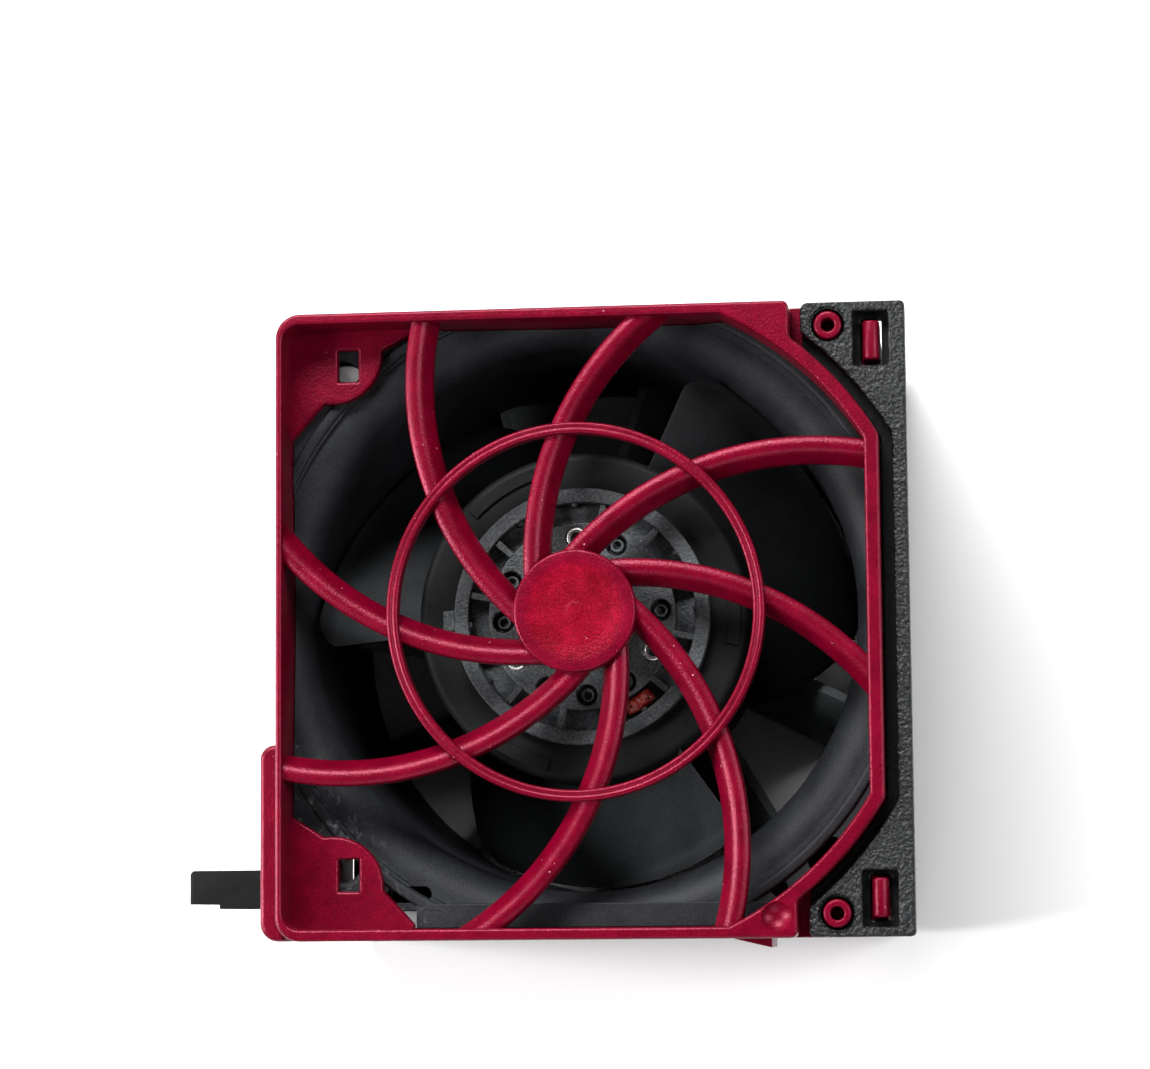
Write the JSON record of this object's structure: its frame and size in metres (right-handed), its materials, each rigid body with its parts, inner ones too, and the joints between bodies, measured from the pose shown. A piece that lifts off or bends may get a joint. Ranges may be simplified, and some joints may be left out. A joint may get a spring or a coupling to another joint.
{
  "type": "server fan module",
  "caption": "Square axial fan in a moulded carrier with a spiral finger guard, pull cover, release latch and blind-mate plug; the impeller spins and the latch flexes.",
  "frame": {"origin": "on the fan axis, in the plane of the exhaust face that the module lies on", "axes": "+Z along the fan axis towards the intake and the finger guard, +X towards the pull cover, +Y away from the side with the release latch"},
  "size_m": [0.0757, 0.0653, 0.044],
  "materials": {
    "carrier_plastic": "moulded crimson plastic, satin gloss",
    "cover_plastic": "leather-grained near-black plastic",
    "plug_plastic": "moulded black nylon",
    "fan_plastic": "glass-filled charcoal plastic",
    "impeller_plastic": "glass-filled charcoal plastic, satin",
    "brass": "turned brass",
    "bearing_steel": "ground steel",
    "cup_steel": "pressed zinc-plated steel",
    "bright_steel": "bright plated rivet eyelets",
    "contact_metal": "tin-plated contact spring",
    "magnet": "bonded ferrite",
    "putty": "red balance putty",
    "lamination": "stacked silicon steel",
    "insulator": "white nylon bobbin",
    "copper": "enamelled copper wire",
    "board": "green solder mask on glass-fibre board",
    "chips": "black component bodies"
  },
  "bodies": {
    "root": {"carrier_frame": "carrier_plastic", "finger_guard": "carrier_plastic", "handle_cover": "cover_plastic", "plug_housing": "plug_plastic", "plug_contacts": "contact_metal", "fan_housing": "fan_plastic", "motor_mount": "fan_plastic", "bearing_tube": "brass", "rear_bearing_outer_ring": "bearing_steel", "front_bearing_outer_ring": "bearing_steel", "stator_core": "lamination", "stator_insulators": "insulator", "stator_windings": "copper", "circuit_board": "board", "board_components": "chips"},
    "rotor": {"impeller": "impeller_plastic", "rotor_cup": "cup_steel", "magnet_ring": "magnet", "shaft": "bearing_steel", "rear_bearing_inner_ring": "bearing_steel", "front_bearing_inner_ring": "bearing_steel", "rear_bearing_balls": "bearing_steel", "front_bearing_balls": "bearing_steel", "preload_spacer": "bearing_steel", "retaining_clip": "bearing_steel", "hub_eyelets": "bright_steel", "balance_putty": "putty"},
    "latch": {"release_latch": "carrier_plastic"}
  },
  "joints": [
    {"name": "impeller_spin", "type": "hinge", "parent": "root", "child": "rotor", "pos_m": [0, 0, 0.02], "axis": [0, 0, 1], "continuous": true},
    {"name": "latch_flex", "type": "hinge", "parent": "root", "child": "latch", "pos_m": [-0.006, -0.0325, 0.0306], "axis": [0, 0, 1], "range_deg": [0, 2.6], "stiffness_Nm_per_rad": 0.4}
  ]
}
